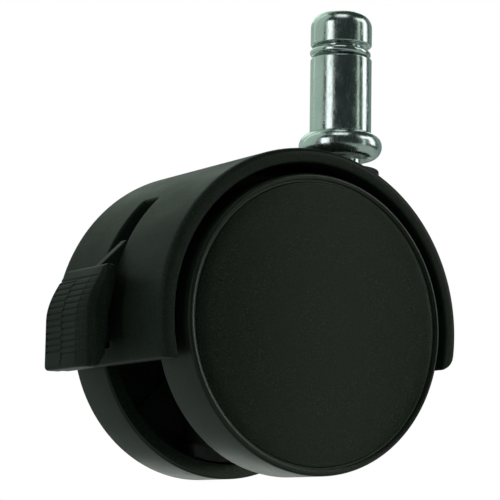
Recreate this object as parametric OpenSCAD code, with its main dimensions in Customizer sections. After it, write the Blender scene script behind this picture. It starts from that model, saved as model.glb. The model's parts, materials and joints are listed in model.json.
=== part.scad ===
// Twin-wheel chair caster with a grip-ring stem, a hood and a foot-operated wheel brake.
// The stem's axis is Z, and its collar's top face, where the chair leg rests, is z = 0.
// The axle lies along Y, behind the stem on the -X side, and the brake pedal points to -X.

/* [Wheels] */
// Diameter of each wheel's tread
wheel_d = 50; // [48:0.5:51]
// Distance between the two wheels' outer faces
wheels_w = 39.2; // [38.8:0.1:39.6]
// Width of one wheel
wheel_w = 10.4; // [10:0.1:10.6]
// Thickness of the rim under the tread
rim_t = 2.7; // [2.5:0.1:3]
// Diameter of the cover disc in each wheel's outer face
disc_d = 46.4; // [45:0.2:47]
// Number of stiffening ribs in each wheel
rib_count = 8; // [6:1:12]

/* [Hood] */
// Outer diameter of the hood around the axle
hood_d = 59; // [58:0.1:59.6]
// Width of the hood along the axle
hood_w = 37.2; // [36.6:0.1:37.4]
// Wall thickness of the hood
hood_t = 2.6; // [2:0.1:2.8]
// Radius of the rounding on the hood's side edges
hood_round = 1.2; // [0.8:0.1:2]
// Diameter of the round stem socket
socket_d = 13.9; // [13.4:0.1:14.4]

/* [Stem] */
// Diameter of the stem that goes into the chair leg
stem_d = 11; // [11:0.1:11]
// Length of the stem above its collar
stem_l = 22; // [21.5:0.1:22.5]
// Diameter of the stem's collar
collar_d = 14.9; // [14:0.1:15.2]
// Height of the collar
collar_h = 4.6; // [4.2:0.1:5]
// Diameter of the lower shaft that turns in the socket
shaft_d = 7.8; // [7.4:0.1:8]
// Height of the seat face above the axle
seat_h = 36.7; // [36.4:0.1:37]
// Distance of the axle behind the stem's axis
trail = 17.5; // [17:0.1:18]

/* [Axle] */
// Diameter of the axle
axle_d = 6; // [5.6:0.1:6]
// Radial running clearance of everything that turns on a shaft
run_gap = 0.05; // [0.03:0.01:0.09]

/* [Brake] */
// Width of the foot pad
pad_w = 13.7; // [13:0.1:14.4]
// Number of grip ridges across the foot pad
ridge_count = 12; // [8:1:13]
// Angle that the pedal lifts to let the wheels go
lift_deg = 17; // [14:1:17]
// Distance that the brake shoe moves back from the wheels
shoe_travel = 1; // [0.6:0.1:1]
// Radial gap between the shoe's friction pads and the rims with the brake on
brake_gap = 0.3; // [0.3:0.05:0.4]

/* [Hidden] */
$fn = 96;
wheel_r = wheel_d / 2;
rim_r = wheel_r - rim_t;
wheel_out = wheels_w / 2;
wheel_in = wheel_out - wheel_w;
edge_r = 0.9;                       // rounding of the tread's two edges
disc_r = disc_d / 2;
disc_t = 1.5;                       // cover disc
web_y = wheel_out - disc_t - 1.9;   // inner face of the wheel's web
hub_r = 6.4;
hub_in = wheel_in + 0.3;
hood_r = hood_d / 2;
hood_y = hood_w / 2;
hood_in_r = hood_r - hood_t;
front_low = -6.25;                  // lower edge of the hood on the stem's side, from the axle
pedal_low = -7.2;                   // lower edge of the hood on the pedal's side, from the axle
front_round = 4;                    // corner of the hood's lip on the stem's side
socket_r = socket_d / 2;
socket_top = -6.5;
socket_low = -33;
sleeve_r = 5.2;
sleeve_low = -24.6;
shaft_r = shaft_d / 2;
shaft_low = -27.2;
ring_cavity_r = 4.9;
ball_r = 2;
ball_z = shaft_low - ball_r - 0.1;
stem_r = stem_d / 2;
collar_r = collar_d / 2;
groove_z = 13.4;                    // groove for the grip ring
groove_h = 2.8;
groove_r = 4;
snap_z = -25.9;                     // groove for the snap ring
snap_h = 1;
snap_root_r = 3.2;
axle_r = axle_d / 2;
axle_half = wheel_out - disc_t - 0.5;
clip_in = web_y + 0.75;             // inner face of the retaining clip
clip_t = 0.6;
clip_root_r = 2.4;
slot_near = -1.4;                   // sides of the pedal's slot in the hood
slot_far = 3.7;
slot_top_deg = 46;                  // ends of the slot, above and below the axle
slot_low_deg = -9;
web_top_deg = 27.5;                 // edges of the pedal's web, above and below the axle
web_low_deg = -7;
cheek_t = 2.2;                      // the two walls beside the pedal
boss_r = 6;
boss_y = hub_in - 0.75;
arm_near = -1;                      // sides of the pedal's web
arm_far = 1;
hub_far = 3.3;                      // far side of the pedal's hub and cam
pin_r = 1.25;
pin_path_r = 11.6;                  // shoe pin's distance from the axle with the brake on
pin_slack = 0.3;
shoe_half_x = 5;
shoe_low_r = 19.6;                  // bottom of the shoe's cross bar
pad_seat_r = 19.8;
pad_face_r = rim_r - brake_gap;
pad_in_y = wheel_in + 0.6;
pad_out_y = web_y - 1.2;
notch_r = 7.4;                      // rounded top of the pedal's hub, with its two notches

// Children drawn in the axle's own place: x to the stem's side, y along the axle, z up
module at_axle() translate([-trail, 0, -seat_h]) children();

// An outline in the plane across the axle, drawn with x to the stem's side and y up,
// made as thick as the space from y0 to y1
module slab(y0, y1) translate([0, y1, 0]) rotate([90, 0, 0]) linear_extrude(y1 - y0) children();

// A profile of (radius, distance along the axle) turned about the axle
module turned(side) rotate([-90 * side, 0, 0]) rotate_extrude() children();

function arc(r, a0, a1, step = 4, c = [0, 0]) =
    let (n = ceil(abs(a1 - a0) / step))
    [for (i = [0 : n]) let (a = a0 + (a1 - a0) * i / n) c + r * [cos(a), sin(a)]];

// A ring sector between two radii, up to half a turn
module sector(r0, r1, a0, a1) intersection() {
    difference() {
        circle(r1);
        circle(r0);
    }
    polygon([[0, 0], 2 * r1 * [cos(a0), sin(a0)],
        3 * r1 * [cos((a0 + a1) / 2), sin((a0 + a1) / 2)], 2 * r1 * [cos(a1), sin(a1)]]);
}

// ---------------------------------------------------------------- stem

module stem() color("silver") rotate_extrude() difference() {
    polygon(concat(
        [[0, shaft_low], [shaft_r - 0.5, shaft_low], [shaft_r, shaft_low + 0.5],
         [shaft_r, snap_z], [snap_root_r, snap_z], [snap_root_r, snap_z + snap_h],
         [shaft_r, snap_z + snap_h], [shaft_r, -collar_h], [collar_r - 2.3, -collar_h]],
        arc(2.3, -90, 90, 9, [collar_r - 2.3, -2.3]),
        [[stem_r, 0], [stem_r, groove_z], [groove_r, groove_z],
         [groove_r, groove_z + groove_h], [stem_r, groove_z + groove_h]],
        arc(3.2, 0, 90, 9, [stem_r - 3.2, stem_l - 3.2]),
        [[0, stem_l]]));
}

// A split spring ring of round wire around the stem
module split_ring(mid_r, wire_r, gap_deg)
    rotate(gap_deg / 2) rotate_extrude(angle = 360 - gap_deg)
        translate([mid_r, 0]) circle(wire_r, $fn = 24);

module grip_ring() color("silver")
    translate([-0.12, 0, groove_z + groove_h / 2]) split_ring(4.8, 0.66, 24);

module stem_snap_ring() color("gray")
    translate([0, 0, snap_z + snap_h / 2]) split_ring(3.85, 0.45, 40);

// ---------------------------------------------------------------- housing

module stem_sleeve() color("ivory")
    translate([0, 0, sleeve_low]) difference() {
        cylinder(r = sleeve_r, h = socket_top - 0.2 - sleeve_low);
        translate([0, 0, -1]) cylinder(r = shaft_r + run_gap, h = socket_top - sleeve_low + 2);
    }

module thrust_ball() color("silver") translate([0, 0, ball_z]) sphere(ball_r);

// A section of the hood's wall, round at its two outer edges, turned about the axle
module hood_ring() turned(1) difference() {
    translate([hood_in_r, -hood_y]) square([hood_t, hood_w]);
    for (side = [-1, 1]) scale([1, side]) difference() {
        translate([hood_r - hood_round, hood_y - hood_round]) square(hood_round + 1);
        translate([hood_r - hood_round, hood_y - hood_round]) circle(hood_round);
    }
}

// What lies below the hood, with a rounded corner on the stem's side
module below_hood() {
    rise = front_low + front_round;
    reach = sqrt(pow(hood_r - front_round, 2) - rise * rise);
    translate([0, front_low - 40]) square([40, 40]);
    translate([-40, pedal_low - 40]) square([40.1, 40]);
    difference() {
        translate([reach, front_low - 1]) square([front_round + 2, front_round + 1]);
        translate([reach, rise]) circle(front_round);
    }
}

// The walls between the wheels: under the hood, around the axle and down beside the shoe
module cheek_outline() {
    difference() {
        circle(hood_in_r + 0.5);
        translate([-40, -40]) square([80, 40]);
        translate([-40, -1]) square([20, 12]);
        translate([19, -1]) square([20, 9]);
    }
    translate([-boss_r - 2.4, -15.5]) square([2.4 + boss_r - shoe_half_x - 0.35, 16]);
    translate([shoe_half_x + 0.35, -15.5]) square([2.4 + boss_r - shoe_half_x - 0.35, 16]);
    circle(boss_r);
}

// Room for the pedal between the cheeks: its hub, its cam and its web's swing through the slot
module pedal_room() slab(slot_near, slot_far) {
    far = hood_r + 3;
    circle(notch_r + 1.2);
    intersection() {
        circle(hood_in_r - 1.5);
        translate([-40, -1]) square([80, 40]);
    }
    polygon([[0, 0], behind(far, slot_top_deg), [-far, far * 0.4], behind(far, slot_low_deg)]);
    polygon([[0, 0], [-11, -16], [13, -16]]);
}

module axle_bosses() {
    slab(-boss_y, slot_near) circle(boss_r);
    slab(slot_far, boss_y) circle(boss_r);
}

module hood_housing() color([0.11, 0.12, 0.11]) difference() {
    union() {
        at_axle() difference() {
            union() {
                difference() {
                    hood_ring();
                    slab(-20, 20) below_hood();
                }
                slab(slot_near - cheek_t, slot_far + cheek_t) cheek_outline();
            }
            pedal_room();
        }
        at_axle() axle_bosses();
        translate([0, 0, socket_low]) cylinder(r = socket_r, h = socket_top - socket_low);
        at_axle() spring_posts();
    }
    translate([0, 0, sleeve_low]) cylinder(r = sleeve_r, h = 40);
    translate([0, 0, shaft_low - 0.1]) cylinder(r = ring_cavity_r, h = 10);
    translate([0, 0, ball_z]) cylinder(r = ball_r, h = 3);
    translate([0, 0, ball_z]) sphere(ball_r);
    at_axle() slab(-20, 20) circle(axle_r);
    at_axle() spring_strip();
}

module axle() color("silver") at_axle() rotate([90, 0, 0]) difference() {
    cylinder(r = axle_r, h = 2 * axle_half, center = true);
    for (side = [-1, 1]) translate([0, 0, side * (clip_in + clip_t / 2)]) difference() {
        cylinder(r = axle_r + 1, h = clip_t, center = true);
        cylinder(r = clip_root_r, h = clip_t + 1, center = true);
    }
}

module thrust_washer(side) color("ivory") at_axle() turned(side)
    translate([axle_r, boss_y]) square([boss_r - 0.4 - axle_r, 0.5]);
module near_thrust_washer() thrust_washer(-1);
module far_thrust_washer() thrust_washer(1);

// An open retaining clip with three teeth in the axle's groove
module axle_clip(side) color("gray") at_axle() scale([1, side, 1])
    slab(clip_in, clip_in + clip_t) difference() {
        circle(4.6);
        circle(3.4);
        rotate(-90) sector(0.1, 6, -32, 32);
    }

// The clip's teeth are part of it
module clip_teeth(side) color("gray") at_axle() scale([1, side, 1])
    slab(clip_in, clip_in + clip_t) for (a = [90, 200, 340]) rotate(a)
        translate([clip_root_r, -0.9]) square([1.4, 1.8]);
module near_axle_clip() { axle_clip(-1); clip_teeth(-1); }
module far_axle_clip() { axle_clip(1); clip_teeth(1); }

// ---------------------------------------------------------------- wheels

// Half of a wheel's section: (radius, distance from the middle plane)
module wheel_section() difference() {
    polygon(concat(
        [[axle_r + run_gap, hub_in], [hub_r, hub_in], [hub_r, web_y], [rim_r, web_y],
         [rim_r, wheel_in + 0.3], [rim_r + 0.3, wheel_in]],
        arc(edge_r, -90, 0, 15, [wheel_r - edge_r, wheel_in + edge_r]),
        arc(edge_r, 0, 90, 15, [wheel_r - edge_r, wheel_out - edge_r]),
        [[disc_r + 0.15, wheel_out], [disc_r + 0.15, wheel_out - disc_t],
         [5.4, wheel_out - disc_t], [5.4, clip_in - 0.25],
         [axle_r + run_gap, clip_in - 0.25]]));
}

module wheel(side) color([0.12, 0.13, 0.12]) at_axle() {
    turned(side) wheel_section();
    for (i = [0 : rib_count - 1]) rotate([0, i * 360 / rib_count, 0]) scale([1, side, 1])
        translate([hub_r - 0.5, web_y - 0.9, -0.6])
            cube([rim_r - hub_r + 0.8, 1, 1.2]);
}
module near_wheel() wheel(-1);
module far_wheel() wheel(1);

// A flat disc with a slightly raised rim, flush in the wheel's outer face
module cover_disc(side) color([0.12, 0.13, 0.12]) at_axle() turned(side)
    polygon([[0, wheel_out - 0.25], [0, wheel_out - disc_t + 0.05],
        [disc_r, wheel_out - disc_t + 0.05], [disc_r, wheel_out - 0.15],
        [disc_r - 0.2, wheel_out], [disc_r - 1, wheel_out], [disc_r - 1.25, wheel_out - 0.25]]);
module near_cover_disc() cover_disc(-1);
module far_cover_disc() cover_disc(1);

// ---------------------------------------------------------------- brake

// A point at a distance from the axle and an angle above it, on the pedal's side
function behind(r, a) = r * [-cos(a), sin(a)];

// The web's outline from the hub to the pad
module web_outline() polygon([behind(4.5, web_top_deg), behind(hood_r, web_top_deg), [-31.4, 8.6],
    [-34.2, 7.4], [-34.2, -5], behind(hood_r, web_low_deg), behind(4.5, web_low_deg)]);

// The foot pad's outline, thick at its top and thin at its rounded foot, without ridges
module foot_outline() polygon(concat(
    [[-31, 7.6], [-31.6, 8.4], [-32.8, 8.5]],
    [for (i = [0 : ridge_count * 4]) let (s = i / (ridge_count * 4), z = 8 - 14.4 * s,
        bulge = -33.4 - 3 * pow(sin(90 * min(1, s * 1.6)), 0.9))
        [bulge - 0.12 * sin(360 * ridge_count * s), z]],
    arc(1.6, 185, 300, 12, [-34.8, -6.9]),
    [[-32.9, -6.4], [-32.5, 0], [-31.4, 5.4]]));

// The path of the shoe's pin in the cam: it comes nearer to the axle as the pedal lifts
function cam_r(a) = pin_path_r - shoe_travel * a / lift_deg;
cam_from = -9;
cam_to = lift_deg + 9;
module cam_slot() {
    w = pin_r + pin_slack;
    polygon(concat(
        [for (a = [cam_from : 1 : cam_to]) (cam_r(a) + w) * [sin(a), -cos(a)]],
        [for (a = [cam_to : -1 : cam_from]) (cam_r(a) - w) * [sin(a), -cos(a)]]));
}

module cam_outline() difference() {
    union() {
        sector(0.1, pin_path_r + 2.9, 256, 302);
        circle(boss_r);
        sector(0.1, notch_r, 55, 140);
    }
    cam_slot();
    for (a = [90, 90 + lift_deg]) rotate(a) translate([notch_r + 0.35, 0]) circle(1.1);
    circle(axle_r + run_gap);
}

module brake_pedal() color([0.11, 0.12, 0.11]) at_axle() {
    difference() {
        slab(arm_near, arm_far) web_outline();
        slab(arm_near - 1, arm_far + 1) circle(boss_r - 0.5);
    }
    slab(arm_near, hub_far) cam_outline();
    slab(-pad_w / 2, pad_w / 2) foot_outline();
}

// A cross bar whose fork holds the pin and whose ends reach into the two wheels
module brake_shoe() color("dimgray") at_axle() difference() {
    union() {
        slab(-pad_out_y, pad_out_y) intersection() {
            sector(pad_seat_r - 3.4, pad_seat_r, 240, 300);
            translate([-shoe_half_x, -30]) square([2 * shoe_half_x, 30]);
        }
        slab(-3.8, 6.1) fork_outline();
    }
    slab(slot_near, slot_far) translate([-8, -16]) square([16, 12]);
    slab(-8, 8) translate([0, -pin_path_r]) circle(pin_r);
}

module fork_outline() {
    translate([-shoe_half_x, -18]) square([2 * shoe_half_x, 18 - pin_path_r]);
    translate([0, -pin_path_r]) circle(2.9);
}

module shoe_pin() color("silver") at_axle()
    slab(-3.6, 5.9) translate([0, -pin_path_r]) circle(pin_r);

module brake_pad(side) color("black") at_axle() scale([1, side, 1])
    slab(pad_in_y, pad_out_y) intersection() {
        sector(pad_seat_r + 0.02, pad_face_r, 240, 300);
        translate([-shoe_half_x - 0.6, -30]) square([2 * shoe_half_x + 1.2, 30]);
    }
module near_brake_pad() brake_pad(-1);
module far_brake_pad() brake_pad(1);

// Two posts between the cheeks hold the ends of the detent spring
module spring_posts() for (x = [-6.2, 9.4])
    slab(slot_near - 0.5, slot_far + 0.5) translate([x - 1.2, 8.9]) square([2.4, 2.6]);

// A thin strip with a rounded dip over the hub's notches
module spring_strip() slab(slot_near + 0.5, slot_far - 0.5) {
    translate([-6.9, 9.5]) square([4.8, 0.45]);
    translate([2.1, 9.5]) square([8, 0.45]);
    difference() {
        translate([0, 9.95]) circle(2.3);
        translate([0, 9.95]) circle(1.85);
        translate([-3, 9.95]) square([6, 3]);
    }
}
module detent_spring() color("gray") at_axle() spring_strip();

stem();
grip_ring();
stem_snap_ring();
stem_sleeve();
thrust_ball();
hood_housing();
axle();
near_thrust_washer();
far_thrust_washer();
near_axle_clip();
far_axle_clip();
near_wheel();
far_wheel();
near_cover_disc();
far_cover_disc();
brake_pedal();
brake_shoe();
shoe_pin();
near_brake_pad();
far_brake_pad();
detent_spring();
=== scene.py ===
"""Looks of the twin-wheel chair caster: detailed meshes, materials, studio and camera."""

import json
import math

import bmesh
import bpy
from mathutils import Matrix, Vector


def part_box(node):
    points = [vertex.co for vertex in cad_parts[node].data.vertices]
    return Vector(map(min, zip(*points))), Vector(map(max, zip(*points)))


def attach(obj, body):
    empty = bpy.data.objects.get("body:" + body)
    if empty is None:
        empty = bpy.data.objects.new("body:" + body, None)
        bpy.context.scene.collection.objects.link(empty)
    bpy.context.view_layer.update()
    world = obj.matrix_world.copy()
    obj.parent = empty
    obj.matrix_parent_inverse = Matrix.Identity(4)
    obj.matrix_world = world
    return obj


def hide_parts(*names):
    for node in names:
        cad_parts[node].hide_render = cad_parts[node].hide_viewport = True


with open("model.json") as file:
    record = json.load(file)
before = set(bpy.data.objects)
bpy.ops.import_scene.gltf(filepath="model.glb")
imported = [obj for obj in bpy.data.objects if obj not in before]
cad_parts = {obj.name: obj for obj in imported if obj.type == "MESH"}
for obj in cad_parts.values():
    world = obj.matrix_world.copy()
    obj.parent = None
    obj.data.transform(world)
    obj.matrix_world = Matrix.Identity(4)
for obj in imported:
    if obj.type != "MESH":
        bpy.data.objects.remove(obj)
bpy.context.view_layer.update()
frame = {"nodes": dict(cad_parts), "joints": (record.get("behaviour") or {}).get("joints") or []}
MM = 0.001

# ------------------------------------------------------------ places, read from the frame

AXLE = Vector(next(j["pos_m"] for j in frame["joints"] if j["name"] == "near_wheel_roll")) / MM
WHEEL_BOX = [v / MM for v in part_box("near_wheel")]
HOOD_BOX = [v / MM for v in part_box("hood_housing")]
STEM_BOX = [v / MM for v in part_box("stem")]
RING_BOX = [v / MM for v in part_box("grip_ring")]
WHEEL_R = (WHEEL_BOX[1].z - WHEEL_BOX[0].z) / 2
WHEEL_OUT, WHEEL_IN = -WHEEL_BOX[0].y, -WHEEL_BOX[1].y
HOOD_R = HOOD_BOX[1].x - AXLE.x
COLLAR_R = (STEM_BOX[1].y - STEM_BOX[0].y) / 2
STEM_TOP, STEM_LOW = STEM_BOX[1].z, STEM_BOX[0].z

# ------------------------------------------------------------ sizes of what is seen, in mm

TURN_STEPS = 224          # segments round a turned piece
SHARP_DEG = 38            # steeper edges than this stay sharp

# wheels: radii from the axle, and distances from the middle plane along the axle
RIM_T = 2.7               # thickness of the rim
EDGE_R = 0.6              # rounding of the tread's outer edge
CREST_IN_R = 24.0         # inner edge of the raised ring round the disc
CREST_FALL = 0.14         # how far the raised ring slopes inward
GROOVE_DEPTH = 0.5        # groove between the raised ring and the disc
HUB_R = 6.4
HUB_IN = 9.5              # inner end of the hub
BORE_R = 3.05
WEB_Y = 16.2              # inner face of the web between hub and rim
CLIP_FLOOR = 16.7         # floor of the pocket that holds the axle clip
CLIP_POCKET_R = 5.4
RIBS = 8                  # ribs on the web's inner face
RIB_DEPTH = 0.9           # how far a rib stands out of the web
RIB_HALF = 0.6            # half of a rib's thickness
RIB_SINK = 0.3            # how far a rib reaches into the web
RIB_REACH = 0.4           # how far a rib reaches into the hub and the rim

# cover discs
DISC_R = 23.5
DISC_PLAY = 0.06          # from the disc's edge to its seat in the wheel
DISC_T = 1.5              # depth of the seat
DISC_DOME = 0.55          # how far the face bulges at its middle
DISC_LIFT = 0.05          # from the disc's back to the seat's floor
FACE_BACK = 0.3           # how far the disc's edge lies behind the wheel's face

# stem: heights from the collar's top face
STEM_R = 5.5
SHAFT_R = 3.9
COLLAR_H = 4.6
GROOVE_Z, GROOVE_H, GROOVE_R = 13.6, 2.4, 4.0
SNAP_Z, SNAP_H, SNAP_R = -25.9, 1.0, 3.2
WIRE_R = 0.66             # grip ring
RING_R = 4.8
RING_Z = 14.6
RING_GAP_DEG = 24
RING_TILT_DEG = 2.2

# housing
SOCKET_R = 6.95
SOCKET_FILLET = 1.6
SKIRT_SINK = 0.1          # how far the fillet's foot is let into the hood
SKIRT_WALL = 1.2          # thickness of the fillet's hidden part
HOOD_VOXEL = 0.24

# pedal: places of the foot pad from the axle, x along the caster and z up
PEDAL_VOXEL = 0.13
ARM_END = -33.0           # x at which the arm ends inside the pad
FOOT_HALF = 6.88          # half the foot pad's width
FOOT_TOP, FOOT_LOW = 8.0, -6.4
FOOT_ROWS = 230           # points down the pad's face
FOOT_RIDGES = 12
RIDGE_DEPTH = 0.21
FOOT_RUN = 1.085          # share of the pad's height at which its lower corner starts
SHELF_END = 0.10          # share of the pad's height that its plain top takes
RIDGES_END = 0.97         # share of the pad's height at which the ridges end
BORDER_IN = -4.1          # inner edge of the plain border on the near side
PLAIN_EDGE = 0.45         # width of the plain strip on each side
SEAM_Y = 1.0              # stepped groove between the two columns of ridges
SEAM_STEP = 0.16          # how far the seam steps to each side
FACE_X = -33.35           # the face at its top, and how far it bulges further down
FACE_BULGE = 3.45
BULGE_RATE = 1.75         # the bulge is full at 1 / 1.75 of the face's length
CROWN_FROM = 3.2          # the face curves back from here toward its near side
CROWN_RUN = 3.4
CORNER_R = 0.7            # lower corners, front and back
CORNER_Z = -7.65
CORNER_FRONT_X, CORNER_BACK_X = -36.1, -34.4
BACK_LINE = [(-32.84, -6.4), (-32.42, -2.5), (-32.3, 0.6), (-31.32, 5.4), (-30.92, 7.6)]
BACK_STEPS = 6
TOP_X, TOP_Z, TOP_R = -31.85, 7.65, 0.93
TOP_FRONT = [(-32.6, 8.55), (-33.1, 8.32)]
CHAMFER = [(0.0, 1.40), (0.02, 1.22), (0.07, 1.10), (0.56, 0.16), (0.66, 0.05), (0.80, 0.0)]
CHAMFER_ROWS = FOOT_ROWS + 6
CHAMFER_TOP = 0.45        # share of the chamfer at the pad's top
CHAMFER_BACK = 0.25       # share of the chamfer on the pad's back
FAR_EDGE_R = 0.28         # rounding of the pad's far side


# ------------------------------------------------------------ mesh helpers

def make_object(name, bm, sharp_deg=SHARP_DEG):
    """A new object from a bmesh in mm, smooth but for its sharp edges."""
    bmesh.ops.recalc_face_normals(bm, faces=bm.faces)
    bmesh.ops.scale(bm, vec=(MM, MM, MM), verts=bm.verts)
    mesh = bpy.data.meshes.new(name)
    bm.to_mesh(mesh)
    bm.free()
    mesh.shade_smooth()
    mesh.set_sharp_from_angle(angle=math.radians(sharp_deg))
    obj = bpy.data.objects.new(name, mesh)
    bpy.context.scene.collection.objects.link(obj)
    return obj


def rounded(corners, steps=6):
    """A closed outline from (u, v, radius) corners, each rounded by its radius."""
    out = []
    count = len(corners)
    for i, (u, v, radius) in enumerate(corners):
        here = Vector((u, v))
        if radius <= 0:
            out.append(here)
            continue
        before = Vector(corners[i - 1][:2]) - here
        after = Vector(corners[(i + 1) % count][:2]) - here
        half = before.angle(after) / 2
        reach = min(radius / math.tan(half), 0.48 * before.length, 0.48 * after.length)
        radius = reach * math.tan(half)
        start, end = before.normalized() * reach, after.normalized() * reach
        inward = (before.normalized() + after.normalized()).normalized()
        centre = inward * (radius / math.sin(half))
        first = math.atan2(start.y - centre.y, start.x - centre.x)
        sweep = math.atan2(end.y - centre.y, end.x - centre.x) - first
        sweep = (sweep + math.pi) % (2 * math.pi) - math.pi
        for k in range(steps + 1):
            a = first + sweep * k / steps
            out.append(here + centre + radius * Vector((math.cos(a), math.sin(a))))
    return out


def turned(bm, outline, place, steps=TURN_STEPS):
    """Adds a closed solid of revolution: outline is (radius, height) pairs in order."""
    rings = []
    for radius, height in outline:
        if radius < 1e-6:
            rings.append([bm.verts.new(place(0, height, 0))] * steps)
        else:
            rings.append([bm.verts.new(place(radius, height, 2 * math.pi * k / steps))
                          for k in range(steps)])
    for ring, after in zip(rings, rings[1:] + rings[:1]):
        for k in range(steps):
            corners = [ring[k], ring[(k + 1) % steps], after[(k + 1) % steps], after[k]]
            unique = list(dict.fromkeys(corners))
            if len(unique) > 2:
                bm.faces.new(unique)


def skin(bm, rings, closed):
    """Faces between neighbouring rings, which are joined end to end or capped."""
    for ring, after in zip(rings, rings[1:] + rings[:1] if closed else rings[1:]):
        count = len(ring)
        for k in range(count):
            bm.faces.new((ring[k], ring[(k + 1) % count], after[(k + 1) % count], after[k]))
    if not closed:
        bm.faces.new(rings[0])
        bm.faces.new(rings[-1][::-1])


def on_axle(side):
    """Places (radius, distance from the middle, angle) about the axle on one side."""
    def place(radius, height, angle):
        return AXLE + Vector((radius * math.cos(angle), side * height, radius * math.sin(angle)))
    return place


def on_stem(radius, height, angle):
    """The place at a radius, height and angle about the stem's axis."""
    return Vector((radius * math.cos(angle), radius * math.sin(angle), height))


def boxed(bm, low, high, matrix=Matrix()):
    """Adds a box between two corners."""
    size = Vector(high) - Vector(low)
    middle = (Vector(high) + Vector(low)) / 2
    place = matrix @ Matrix.Translation(middle) @ Matrix.Diagonal((*size, 1))
    bmesh.ops.create_cube(bm, size=1, matrix=place)


def apply_modifiers(obj):
    """Makes the object's modified mesh its own mesh."""
    deps = bpy.context.evaluated_depsgraph_get()
    mesh = bpy.data.meshes.new_from_object(obj.evaluated_get(deps))
    obj.modifiers.clear()
    obj.data = mesh


def join_shapes(obj, voxel, smooth, keep=1.0):
    """Fuses the object's overlapping solids into one skin with softened edges."""
    remesh = obj.modifiers.new("fuse", "REMESH")
    remesh.mode = "VOXEL"
    remesh.voxel_size = voxel * MM
    soften = obj.modifiers.new("soften", "SMOOTH")
    soften.factor = 0.5
    soften.iterations = smooth
    if keep < 1:
        thin = obj.modifiers.new("thin", "DECIMATE")
        thin.ratio = keep
    apply_modifiers(obj)
    obj.data.shade_smooth()


def bm_of_node(node):
    """A bmesh copy of a CAD node, in mm."""
    bm = bmesh.new()
    bm.from_mesh(frame["nodes"][node].data)
    bmesh.ops.scale(bm, vec=(1 / MM, 1 / MM, 1 / MM), verts=bm.verts)
    return bm


# ------------------------------------------------------------ materials

class Nodes:
    """Short names for building one material's node tree."""

    def __init__(self, name):
        self.material = bpy.data.materials.new(name)
        self.material.use_nodes = True
        self.tree = self.material.node_tree
        self.shader = self.tree.nodes["Principled BSDF"]
        self.place = self.add("ShaderNodeTexCoord").outputs["Object"]

    def add(self, kind, **values):
        """A new node of this kind with its settings."""
        node = self.tree.nodes.new(kind)
        for key, value in values.items():
            setattr(node, key, value)
        return node

    def link(self, source, target):
        self.tree.links.new(source, target)

    def stretched(self, scale):
        """Object coordinates scaled along each axis, for streaks."""
        mapping = self.add("ShaderNodeMapping")
        mapping.inputs["Scale"].default_value = scale
        self.link(self.place, mapping.inputs["Vector"])
        return mapping.outputs["Vector"]

    def noise(self, scale, detail=4.0, rough=0.5, vector=None):
        node = self.add("ShaderNodeTexNoise")
        node.inputs["Scale"].default_value = scale
        node.inputs["Detail"].default_value = detail
        node.inputs["Roughness"].default_value = rough
        self.link(vector or self.place, node.inputs["Vector"])
        return node.outputs["Fac"]

    def spread(self, value, low, high, from_low=0.3, from_high=0.7):
        """Maps a value's range from_low to from_high onto low to high."""
        node = self.add("ShaderNodeMapRange")
        node.inputs["From Min"].default_value = from_low
        node.inputs["From Max"].default_value = from_high
        node.inputs["To Min"].default_value = low
        node.inputs["To Max"].default_value = high
        self.link(value, node.inputs["Value"])
        return node.outputs["Result"]

    def blend(self, factor, first, second):
        """A colour between two others; each may be a socket or a value."""
        node = self.add("ShaderNodeMix", data_type="RGBA")
        self.link(factor, node.inputs["Factor"])
        for socket, value in ((node.inputs["A"], first), (node.inputs["B"], second)):
            if isinstance(value, tuple):
                socket.default_value = (*value, 1)
            else:
                self.link(value, socket)
        return node.outputs["Result"]

    def facing_sides(self):
        """1 where the surface faces along the axle, 0 where it does not."""
        across = self.add("ShaderNodeSeparateXYZ")
        self.link(self.add("ShaderNodeTexCoord").outputs["Normal"], across.inputs["Vector"])
        flat = self.add("ShaderNodeMath", operation="ABSOLUTE")
        self.link(across.outputs["Y"], flat.inputs[0])
        return self.spread(flat.outputs[0], 0, 1, 0.80, 0.97)

    def between(self, factor, first, second):
        """A number between two others; each may be a socket or a value."""
        node = self.add("ShaderNodeMix", data_type="FLOAT")
        self.link(factor, node.inputs["Factor"])
        for socket, value in ((node.inputs["A"], first), (node.inputs["B"], second)):
            if isinstance(value, float):
                socket.default_value = value
            else:
                self.link(value, socket)
        return node.outputs["Result"]

    def bump(self, height, strength, distance, normal=None):
        """Surface relief from a height; distance is in mm."""
        node = self.add("ShaderNodeBump")
        node.inputs["Strength"].default_value = strength
        node.inputs["Distance"].default_value = distance * MM
        self.link(height, node.inputs["Height"])
        if normal:
            self.link(normal, node.inputs["Normal"])
        return node.outputs["Normal"]

    def finish(self, colour, roughness, normal=None, **values):
        """Connects the sockets, sets the shader's plain values and gives the material."""
        for name, value in (("Base Color", colour), ("Roughness", roughness), ("Normal", normal)):
            if value is not None:
                self.link(value, self.shader.inputs[name])
        for name, value in values.items():
            self.shader.inputs[name.replace("_", " ")].default_value = value
        return self.material


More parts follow.
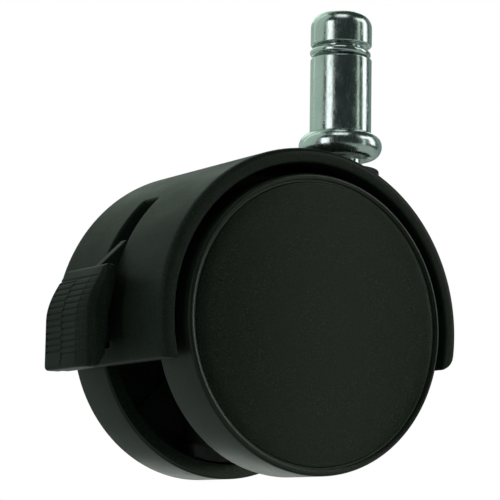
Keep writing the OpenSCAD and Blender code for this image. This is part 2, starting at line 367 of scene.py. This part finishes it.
def black_plastic(name, colour, rough, specular, side_rough, side_specular, grain_mm, grain_depth,
                  specks):
    """Near-black moulded plastic: fine grain, faint mottling, pale specks and smears.

    side_rough and side_specular are for the flat faces at the ends of the axle.
    """
    n = Nodes(name)
    tone = n.blend(n.spread(n.noise(260, 5), 0, 1), colour, tuple(c * 0.8 for c in colour))
    dust = n.spread(n.noise(4600, 3, 0.7), 0, 1, 0.54, 0.66)
    tone = n.blend(dust, tone, tuple(c * (1 + specks) for c in colour))
    smear = n.noise(90, 3, 0.6, n.stretched((1, 1, 2.2)))
    sides = n.facing_sides()
    roughness = n.between(sides, n.spread(smear, rough - 0.05, rough + 0.05), side_rough)
    shine = n.between(sides, specular, side_specular)
    fine = n.noise(1 / (grain_mm * MM), 5, 0.7)
    grainy = n.add("ShaderNodeMath", operation="ADD")
    n.link(roughness, grainy.inputs[0])
    n.link(n.spread(fine, -0.04, 0.04), grainy.inputs[1])
    n.link(shine, n.shader.inputs["Specular IOR Level"])
    return n.finish(tone, grainy.outputs[0], n.bump(fine, 0.7, grain_depth),
                    Specular_Tint=(0.93, 1.0, 0.84, 1.0))


def bright_steel():
    """Zinc-plated turned steel: bright, with upright streaks, pits and small scuffs."""
    n = Nodes("bright_steel")
    cloud = n.noise(240, 6, 0.6)
    streaks = n.noise(1500, 6, 0.7, n.stretched((1, 1, 0.3)))
    pits = n.noise(2600, 3, 0.6)
    tone = n.blend(n.spread(cloud, 0, 1), (0.72, 0.82, 0.79), (0.60, 0.70, 0.67))
    tone = n.blend(n.spread(pits, 0, 0.5, 0.6, 0.72), tone, (0.30, 0.36, 0.34))
    roughness = n.spread(streaks, 0.13, 0.34, 0.35, 0.7)
    normal = n.bump(streaks, 0.22, 0.012)
    normal = n.bump(pits, 0.18, 0.012, normal)
    return n.finish(tone, roughness, normal, Metallic=1.0)


def plain_steel(name, colour, rough):
    """Ground or blued steel of the inner pieces, with fine grinding marks."""
    n = Nodes(name)
    marks = n.noise(1200, 4, 0.6, n.stretched((1, 6, 1)))
    tone = n.blend(n.spread(n.noise(300, 4), 0, 1), colour, tuple(c * 0.7 for c in colour))
    roughness = n.spread(marks, rough - 0.06, rough + 0.1)
    return n.finish(tone, roughness, n.bump(marks, 0.25, 0.01), Metallic=1.0)


def nylon():
    """Natural nylon, off white and a little uneven."""
    n = Nodes("natural_nylon")
    tone = n.blend(n.spread(n.noise(220, 4), 0, 1), (0.74, 0.72, 0.64), (0.66, 0.63, 0.55))
    grain = n.noise(2500, 3)
    return n.finish(tone, n.spread(grain, 0.38, 0.5), n.bump(grain, 0.3, 0.01))


def rubber():
    """Dark, dull rubber of the brake pads."""
    n = Nodes("pad_rubber")
    tone = n.blend(n.spread(n.noise(500, 5), 0, 1), (0.012, 0.012, 0.012), (0.03, 0.029, 0.028))
    grain = n.noise(3500, 4, 0.7)
    return n.finish(tone, n.spread(grain, 0.7, 0.9), n.bump(grain, 0.6, 0.03))


HOOD_BLACK = black_plastic(
    "hood_plastic", (0.0130, 0.0180, 0.0128), rough=0.45, specular=0.095, side_rough=0.40,
    side_specular=0.26, grain_mm=0.30, grain_depth=0.045, specks=1.5)
WHEEL_BLACK = black_plastic(
    "wheel_plastic", (0.0110, 0.0155, 0.0108), rough=0.38, specular=0.20, side_rough=0.20,
    side_specular=0.65, grain_mm=0.30, grain_depth=0.035, specks=1.0)
DISC_BLACK = black_plastic(
    "disc_plastic", (0.0050, 0.0074, 0.0049), rough=0.25, specular=0.40, side_rough=0.21,
    side_specular=0.50, grain_mm=0.38, grain_depth=0.040, specks=5.0)
PEDAL_BLACK = black_plastic(
    "pedal_plastic", (0.0150, 0.0205, 0.0148), rough=0.50, specular=0.10, side_rough=0.50,
    side_specular=0.10, grain_mm=0.30, grain_depth=0.030, specks=1.0)
SHOE_BLACK = black_plastic(
    "shoe_plastic", (0.0130, 0.0160, 0.0135), rough=0.50, specular=0.30, side_rough=0.40,
    side_specular=0.30, grain_mm=0.30, grain_depth=0.020, specks=1.0)
BRIGHT = bright_steel()
GROUND = plain_steel("ground_steel", (0.62, 0.62, 0.61), 0.28)
BLUED = plain_steel("blued_steel", (0.24, 0.25, 0.28), 0.33)
NYLON = nylon()
RUBBER = rubber()


def dress(obj, material, body, slot, *nodes):
    """Gives a new piece its material and body, and hides the CAD nodes that it stands for. The
    slot argument is not used.
    """
    obj.data.materials.clear()
    obj.data.materials.append(material)
    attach(obj, body)
    if nodes:
        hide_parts(*nodes)
    return obj


def paint(node, material):
    """A CAD node that keeps its shape gets its material."""
    mesh = frame["nodes"][node].data
    if not mesh.materials:
        mesh.materials.append(material)
    for i in range(len(mesh.materials)):
        mesh.materials[i] = material


# ------------------------------------------------------------ wheels

def wheel_outline():
    """The wheel's section as (radius, distance from the middle plane) points."""
    rim_in = WHEEL_R - RIM_T
    out = WHEEL_OUT
    fillet = [(WHEEL_R - EDGE_R * (1 - math.sin(a)), out - EDGE_R * (1 - math.cos(a)), 0)
              for a in (math.radians(d) for d in range(90, -1, -10))]
    return rounded([
        (BORE_R, HUB_IN, 0.15), (HUB_R, HUB_IN, 0.3), (HUB_R, WEB_Y, 0.6), (rim_in, WEB_Y, 0.8),
        (rim_in, WHEEL_IN, 0.3), (WHEEL_R, WHEEL_IN, 0.5)] + fillet + [
        (CREST_IN_R, out - CREST_FALL, 0.08), (CREST_IN_R, out - GROOVE_DEPTH, 0.1),
        (DISC_R + DISC_PLAY, out - GROOVE_DEPTH, 0.02), (DISC_R + DISC_PLAY, out - DISC_T, 0.1),
        (CLIP_POCKET_R, out - DISC_T, 0.1), (CLIP_POCKET_R, CLIP_FLOOR, 0.1),
        (BORE_R, CLIP_FLOOR, 0.1)])


def make_wheel(name, side):
    """A hollow wheel, open toward the middle, with ribs on its web. side is -1 or 1."""
    bm = bmesh.new()
    turned(bm, wheel_outline(), on_axle(side))
    wheel = make_object(name + "_moulding", bm)
    ribs = bmesh.new()
    for i in range(RIBS):
        turn = Matrix.Translation(AXLE) @ Matrix.Rotation(2 * math.pi * i / RIBS, 4, "Y")
        low, high = sorted((side * (WEB_Y - RIB_DEPTH), side * (WEB_Y + RIB_SINK)))
        boxed(ribs, (HUB_R - RIB_REACH, low, -RIB_HALF),
              (WHEEL_R - RIM_T + RIB_REACH, high, RIB_HALF), turn)
    rib_obj = make_object("ribs", ribs, 30)
    fuse = wheel.modifiers.new("ribs", "BOOLEAN")
    fuse.operation = "UNION"
    fuse.solver = "EXACT"
    fuse.object = rib_obj
    apply_modifiers(wheel)
    bpy.data.objects.remove(rib_obj)
    wheel.data.shade_smooth()
    wheel.data.set_sharp_from_angle(angle=math.radians(SHARP_DEG))
    return dress(wheel, WHEEL_BLACK, name, "wheel_plastic", name)


def make_disc(name, side, body):
    """Cover disc: a grained face with a rounded edge, set a little back in the wheel."""
    face = WHEEL_OUT - FACE_BACK
    bm = bmesh.new()
    back = WHEEL_OUT - DISC_T + DISC_LIFT
    dome = [(DISC_R * k / 10, face + DISC_DOME * (1 - (k / 10) ** 2), 0) for k in range(10)]
    turned(bm, rounded(dome + [(DISC_R, face, 0.16), (DISC_R, back, 0.1), (0, back, 0)]),
           on_axle(side))
    disc = make_object(name + "_face", bm)
    return dress(disc, DISC_BLACK, body, "disc_plastic", name)


# ------------------------------------------------------------ stem

def make_stem():
    """The turned stem: shaft, round collar, straight part, groove and rounded head."""
    bead = COLLAR_H / 2
    collar = [(COLLAR_R - bead + bead * math.cos(a), bead * math.sin(a) - bead, 0)
              for a in (math.radians(d) for d in range(-90, 91, 10))]
    below = [
        (0, STEM_LOW, 0), (SHAFT_R, STEM_LOW, 0.5), (SHAFT_R, SNAP_Z, 0.05), (SNAP_R, SNAP_Z, 0.1),
        (SNAP_R, SNAP_Z + SNAP_H, 0.1), (SHAFT_R, SNAP_Z + SNAP_H, 0.05),
        (SHAFT_R, -COLLAR_H, 0.3)]
    above = [
        (STEM_R, 0, 0.25), (STEM_R, GROOVE_Z, 0.25), (GROOVE_R, GROOVE_Z, 0.2),
        (GROOVE_R, GROOVE_Z + GROOVE_H, 0.2), (STEM_R, GROOVE_Z + GROOVE_H, 0.3),
        (STEM_R, STEM_TOP, 3.0), (0, STEM_TOP, 0)]
    bm = bmesh.new()
    turned(bm, rounded(below + collar + above, 10), on_stem)
    stem = make_object("stem_turned", bm, 50)
    return dress(stem, BRIGHT, "stem", "stem_steel", "stem")


def make_grip_ring():
    """A split ring of round wire that sits a little askew in its groove."""
    gap = math.radians(RING_GAP_DEG)
    steps, sides, end_steps, end_size = 96, 20, 4, 0.35
    bm = bmesh.new()
    rings = []
    for i in range(steps + 1):
        a = gap / 2 + (2 * math.pi - gap) * i / steps
        from_end = min(i, steps - i)
        taper = math.sin(from_end / end_steps * math.pi / 2) if from_end < end_steps else 1
        size = WIRE_R * max(taper, end_size)
        centre = Vector((RING_R * math.cos(a), RING_R * math.sin(a), 0))
        out = Vector((math.cos(a), math.sin(a), 0))
        rings.append([bm.verts.new(centre + size * (
            math.cos(b) * out + math.sin(b) * Vector((0, 0, 1))))
            for b in (2 * math.pi * k / sides for k in range(sides))])
    skin(bm, rings, closed=False)
    tilt = Matrix.Rotation(math.radians(RING_TILT_DEG), 4, "Y")
    low, high = RING_BOX
    bmesh.ops.transform(bm, verts=bm.verts, matrix=Matrix.Translation(
        ((low.x + high.x) / 2, 0, RING_Z)) @ tilt)
    ring = make_object("grip_ring_wire", bm)
    return dress(ring, BRIGHT, "stem", "stem_steel", "grip_ring")


# ------------------------------------------------------------ housing

def socket_skirt(bm):
    """The moulded fillet where the round stem socket meets the hood."""
    steps, rows = 96, 8
    rings = []
    for i in range(steps):
        a = 2 * math.pi * i / steps
        out = Vector((math.cos(a), math.sin(a), 0))
        ring = []
        for k in range(rows + 1):
            b = math.pi / 2 * k / rows
            reach = SOCKET_FILLET * (1 - math.sin(b))
            rise = SOCKET_FILLET * (1 - math.cos(b))
            spot = out * (SOCKET_R + reach)
            across = spot.x - AXLE.x
            top = AXLE.z
            if across < HOOD_R:
                top += math.sqrt(max(HOOD_R ** 2 - across ** 2, 1))
            ring.append(bm.verts.new((spot.x, spot.y, top + rise - SKIRT_SINK)))
        inner = out * (SOCKET_R - SKIRT_WALL)
        ring.append(bm.verts.new((inner.x, inner.y, ring[-1].co.z)))
        ring.append(bm.verts.new((inner.x, inner.y, ring[0].co.z - SKIRT_WALL)))
        spot = out * (SOCKET_R + SOCKET_FILLET)
        ring.append(bm.verts.new((spot.x, spot.y, ring[0].co.z - SKIRT_WALL)))
        rings.append(ring)
    skin(bm, rings, closed=True)


def make_housing():
    """The hood moulding in one skin with softened edges, and the fillet round its socket."""
    bm = bm_of_node("hood_housing")
    socket_skirt(bm)
    hood = make_object("hood_moulding", bm)
    join_shapes(hood, HOOD_VOXEL, 6, 1.0)
    return dress(hood, HOOD_BLACK, "housing", "hood_plastic", "hood_housing")


# ------------------------------------------------------------ pedal

def notch(distance, half_width):
    """Depth of a V groove from 1 at its middle to 0, with rounded shoulders."""
    reach = max(0.0, 1 - abs(distance) / half_width)
    return reach * reach * (3 - 2 * reach)


def foot_crown(y):
    """How far the pad's face curves back toward its near side, in mm."""
    return (max(0.0, -y - CROWN_FROM) / CROWN_RUN) ** 1.7


def foot_relief(share, y):
    """How far the pad's face lies below its ridges' tops, in mm."""
    shelf = 0.8 * notch((share - SHELF_END) * (FOOT_TOP - FOOT_LOW), 0.28)
    if share < SHELF_END or abs(y) > FOOT_HALF - PLAIN_EDGE:
        return RIDGE_DEPTH * shelf
    run = (share - SHELF_END) * FOOT_RIDGES / (RIDGES_END - SHELF_END)
    step = SEAM_STEP if int(run) % 2 else -SEAM_STEP
    seam = notch(y - SEAM_Y - step, 0.26)
    shift = 0.0 if y > SEAM_Y + step else 0.4
    phase = (run + shift) % 1.0
    groove = notch((phase - 0.5) * 1.06, 0.30) if share < RIDGES_END else 0.0
    if y < BORDER_IN:
        groove *= 0.25 + 0.5 * notch(y - BORDER_IN + 0.6, 0.5)
    edge = notch(y - BORDER_IN, 0.22) * 0.6
    return RIDGE_DEPTH * max(shelf, seam, groove, edge)


def arc(x, z, radius, angles):
    """Points on a circle about (x, z) at these angles in degrees."""
    turns = (math.radians(angle) for angle in angles)
    return [(x + radius * math.cos(a), z + radius * math.sin(a)) for a in turns]


def foot_outline(y):
    """The pad's section at one place across it: a closed loop of (x, z) from the axle."""
    crown = foot_crown(y)
    loop = []
    for i in range(FOOT_ROWS + 1):
        share = FOOT_RUN * i / FOOT_ROWS
        bulge = math.sin(math.pi / 2 * min(1, BULGE_RATE * share))
        x = FACE_X - FACE_BULGE * bulge + foot_relief(share, y) + crown * share ** 0.5
        loop.append((x, FOOT_TOP + (FOOT_LOW - FOOT_TOP) * share))
    loop += arc(CORNER_FRONT_X + crown, CORNER_Z, CORNER_R,
                (180 + 90 * k / 7 for k in range(1, 8)))
    loop += arc(CORNER_BACK_X, CORNER_Z, CORNER_R, (270 + 60 * k / 7 for k in range(8)))
    for (x0, z0), (x1, z1) in zip(BACK_LINE, BACK_LINE[1:]):
        loop += [(x0 + (x1 - x0) * k / BACK_STEPS, z0 + (z1 - z0) * k / BACK_STEPS)
                 for k in range(BACK_STEPS)]
    loop += arc(TOP_X, TOP_Z, TOP_R, (100 * k / 8 for k in range(9)))
    return loop + TOP_FRONT


def make_foot():
    """The foot pad with its ridges, its stepped seam, its plain border and rounded sides."""
    columns = [(-FOOT_HALF + step, inset) for step, inset in CHAMFER]
    columns += [(y * 0.1, 0.0) for y in range(-60, 66)]
    for k in range(5, -1, -1):
        a = math.pi / 2 * k / 5
        columns.append((FOOT_HALF - FAR_EDGE_R + FAR_EDGE_R * math.cos(a),
                        FAR_EDGE_R * (1 - math.sin(a))))
    bm = bmesh.new()
    rings = []
    for y, inset in columns:
        loop = [Vector(point) for point in foot_outline(y)]
        ring = []
        for i, here in enumerate(loop):
            along = loop[(i + 2) % len(loop)] - loop[i - 2]
            inward = Vector((-along.y, along.x)).normalized()
            near = CHAMFER_BACK
            if i < CHAMFER_ROWS:
                near = min(1.0, CHAMFER_TOP + i / FOOT_ROWS)
            spot = here + inward * inset * (near if y < 0 else 1.0)
            ring.append(bm.verts.new(AXLE + Vector((spot.x, y, spot.y))))
        rings.append(ring)
    skin(bm, rings, closed=False)
    foot = make_object("pedal_foot", bm, 50)
    return dress(foot, PEDAL_BLACK, "pedal", "pedal_plastic", "brake_pedal")


def make_pedal_arm():
    """The pedal's web, hub and cam, cut off inside the foot pad."""
    bm = bm_of_node("brake_pedal")
    arm = make_object("pedal_arm", bm)
    join_shapes(arm, PEDAL_VOXEL, 3)
    bm = bmesh.new()
    bm.from_mesh(arm.data)
    everything = bm.verts[:] + bm.edges[:] + bm.faces[:]
    cut = (AXLE + Vector((ARM_END, 0, 0))) * MM
    bmesh.ops.bisect_plane(bm, geom=everything, plane_co=cut, plane_no=(-1, 0, 0),
                           clear_outer=True)
    bmesh.ops.holes_fill(bm, edges=[e for e in bm.edges if e.is_boundary], sides=0)
    bm.to_mesh(arm.data)
    bm.free()
    arm.data.shade_smooth()
    return dress(arm, PEDAL_BLACK, "pedal", "pedal_plastic", "brake_pedal")


# ------------------------------------------------------------ studio and camera

CAMERA_AT = Vector((-212.53, -303.0, -72.29))                # mm
CAMERA_YAW, CAMERA_PITCH, CAMERA_ROLL = 32.6, 7.88, 0.96     # degrees
CAMERA_SENSOR, CAMERA_LENS = 36, 151.4                       # mm
LAMPS_AIM = Vector((-10, 0, -25))                            # mm
FLOOR_DROP = 170.0        # mm below the wheels, so that low panels stay above it
FLOOR_SIZE = 900          # mm
MINT = (0.83, 1.0, 0.87)


def make_camera():
    """A close camera in front of the near wheel, below the axle and looking up."""
    yaw, pitch, roll = (math.radians(v) for v in (CAMERA_YAW, CAMERA_PITCH, CAMERA_ROLL))
    ahead = Vector((math.sin(yaw) * math.cos(pitch), math.cos(yaw) * math.cos(pitch),
                    math.sin(pitch)))
    level = Vector((math.cos(yaw), -math.sin(yaw), 0))
    up = level.cross(ahead)
    right = math.cos(roll) * level + math.sin(roll) * up
    above = math.cos(roll) * up - math.sin(roll) * level
    data = bpy.data.cameras.new("camera")
    data.sensor_width = CAMERA_SENSOR
    data.lens = CAMERA_LENS
    camera = bpy.data.objects.new("camera", data)
    camera.matrix_world = Matrix.Translation(CAMERA_AT * MM) @ Matrix(
        (right, above, -ahead)).transposed().to_4x4()
    bpy.context.scene.collection.objects.link(camera)
    bpy.context.scene.camera = camera


def softbox(name, bearing, rise, away, width, height, radiance, tint=(1, 1, 1), seen=True):
    """A lit panel that faces the caster.

    bearing and rise are in degrees, bearing from the camera's side and + to its right; away, width
    and height are in m. A panel that is not seen gives light but no reflection.
    """
    yaw = math.radians(CAMERA_YAW)
    toward = Vector((-math.sin(yaw), -math.cos(yaw), 0))
    right = Vector((math.cos(yaw), -math.sin(yaw), 0))
    b, r = math.radians(bearing), math.radians(rise)
    way = (toward * math.cos(b) + right * math.sin(b)) * math.cos(r) + Vector((0, 0, math.sin(r)))
    light = bpy.data.lights.new(name, "AREA")
    light.shape = "RECTANGLE"
    light.size, light.size_y = width, height
    light.energy = math.pi * width * height * radiance
    light.color = tint
    lamp = bpy.data.objects.new(name, light)
    lamp.location = LAMPS_AIM * MM + way * away
    lamp.rotation_euler = way.to_track_quat("Z", "Y").to_euler()
    lamp.visible_camera = False
    lamp.visible_glossy = seen
    bpy.context.scene.collection.objects.link(lamp)


def pale_floor():
    """A plain pale floor, evenly lit to the camera and clear from below."""
    n = Nodes("pale_floor")
    tone = n.blend(n.spread(n.noise(6, 2), 0, 1), (0.86, 0.86, 0.85), (0.9, 0.9, 0.89))
    material = n.finish(tone, None)
    glow = n.add("ShaderNodeEmission")
    n.link(tone, glow.inputs["Color"])
    faces = n.add("ShaderNodeMixShader")
    n.link(n.add("ShaderNodeLightPath").outputs["Is Camera Ray"], faces.inputs["Fac"])
    n.link(n.shader.outputs[0], faces.inputs[1])
    n.link(glow.outputs[0], faces.inputs[2])
    whole = n.add("ShaderNodeMixShader")
    n.link(n.add("ShaderNodeNewGeometry").outputs["Backfacing"], whole.inputs["Fac"])
    n.link(faces.outputs[0], whole.inputs[1])
    n.link(n.add("ShaderNodeBsdfTransparent").outputs[0], whole.inputs[2])
    n.link(whole.outputs[0], n.tree.nodes["Material Output"].inputs["Surface"])
    return material


def make_lamps():
    """The panels that the stem, the hood and the wheels reflect, and a soft fill."""
    softbox("front_left_strip", -45, 3, 0.7, 0.29, 0.7, 1.45)
    softbox("left_wall", -98, 22, 0.8, 0.80, 1.5, 0.46, MINT)
    softbox("back_left_wall", -150, 24, 0.8, 0.84, 1.35, 0.44, MINT)
    softbox("back_left_top", -158, 34, 0.75, 0.30, 0.28, 0.65, MINT)
    softbox("back_top", 171, 32, 0.8, 0.26, 0.34, 1.1, MINT)
    softbox("low_back_panel", -177, -23, 0.4, 0.19, 0.13, 1.1, (0.93, 1, 0.93))
    softbox("right_strip", 99, 20, 0.8, 0.27, 0.62, 1.75)
    softbox("right_top", 76, 38, 0.8, 0.26, 0.26, 1.3)
    softbox("right_front_glow", 67.5, 3, 0.8, 0.10, 0.7, 0.95, (0.85, 1, 0.85))
    softbox("back_right_wall", 150, 5, 0.8, 0.7, 1.0, 0.22, (0.75, 1, 0.93))
    softbox("soft_fill", 5, 5, 0.6, 0.3, 0.3, 0.9, (0.6, 0.95, 1.05), seen=False)
    softbox("overhead", 0, 68, 0.7, 0.36, 0.30, 1.1)


def make_world():
    """White to the camera, a faint sky to everything else."""
    world = bpy.data.worlds.new("studio")
    world.use_nodes = True
    tree = world.node_tree
    sky = tree.nodes["Background"]
    sky.inputs["Color"].default_value = (0.75, 1, 0.95, 1)
    sky.inputs["Strength"].default_value = 0.03
    white = tree.nodes.new("ShaderNodeBackground")
    white.inputs["Color"].default_value = (1, 1, 1, 1)
    white.inputs["Strength"].default_value = 1.0
    seen = tree.nodes.new("ShaderNodeLightPath")
    mix = tree.nodes.new("ShaderNodeMixShader")
    tree.links.new(seen.outputs["Is Camera Ray"], mix.inputs["Fac"])
    tree.links.new(sky.outputs[0], mix.inputs[1])
    tree.links.new(white.outputs[0], mix.inputs[2])
    tree.links.new(mix.outputs[0], tree.nodes["World Output"].inputs["Surface"])
    bpy.context.scene.world = world


def make_floor():
    """The stage's plain floor."""
    bm = bmesh.new()
    bmesh.ops.create_grid(bm, x_segments=1, y_segments=1, size=FLOOR_SIZE)
    bmesh.ops.translate(bm, vec=(0, 0, WHEEL_BOX[0].z - FLOOR_DROP), verts=bm.verts)
    floor = make_object("floor", bm)
    floor.data.materials.append(pale_floor())


# ------------------------------------------------------------ the caster

make_camera()
make_lamps()
make_world()
make_floor()
bpy.context.scene.view_settings.view_transform = "Standard"

make_wheel("near_wheel", -1)
make_wheel("far_wheel", 1)
make_disc("near_cover_disc", -1, "near_wheel")
make_disc("far_cover_disc", 1, "far_wheel")
make_stem()
make_grip_ring()
make_housing()
make_foot()
make_pedal_arm()
for material, nodes in (
        (BLUED, ("stem_snap_ring", "near_axle_clip", "far_axle_clip", "detent_spring")),
        (GROUND, ("thrust_ball", "axle", "shoe_pin")),
        (NYLON, ("stem_sleeve", "near_thrust_washer", "far_thrust_washer")),
        (SHOE_BLACK, ("brake_shoe",)),
        (RUBBER, ("near_brake_pad", "far_brake_pad"))):
    for node in nodes:
        paint(node, material)
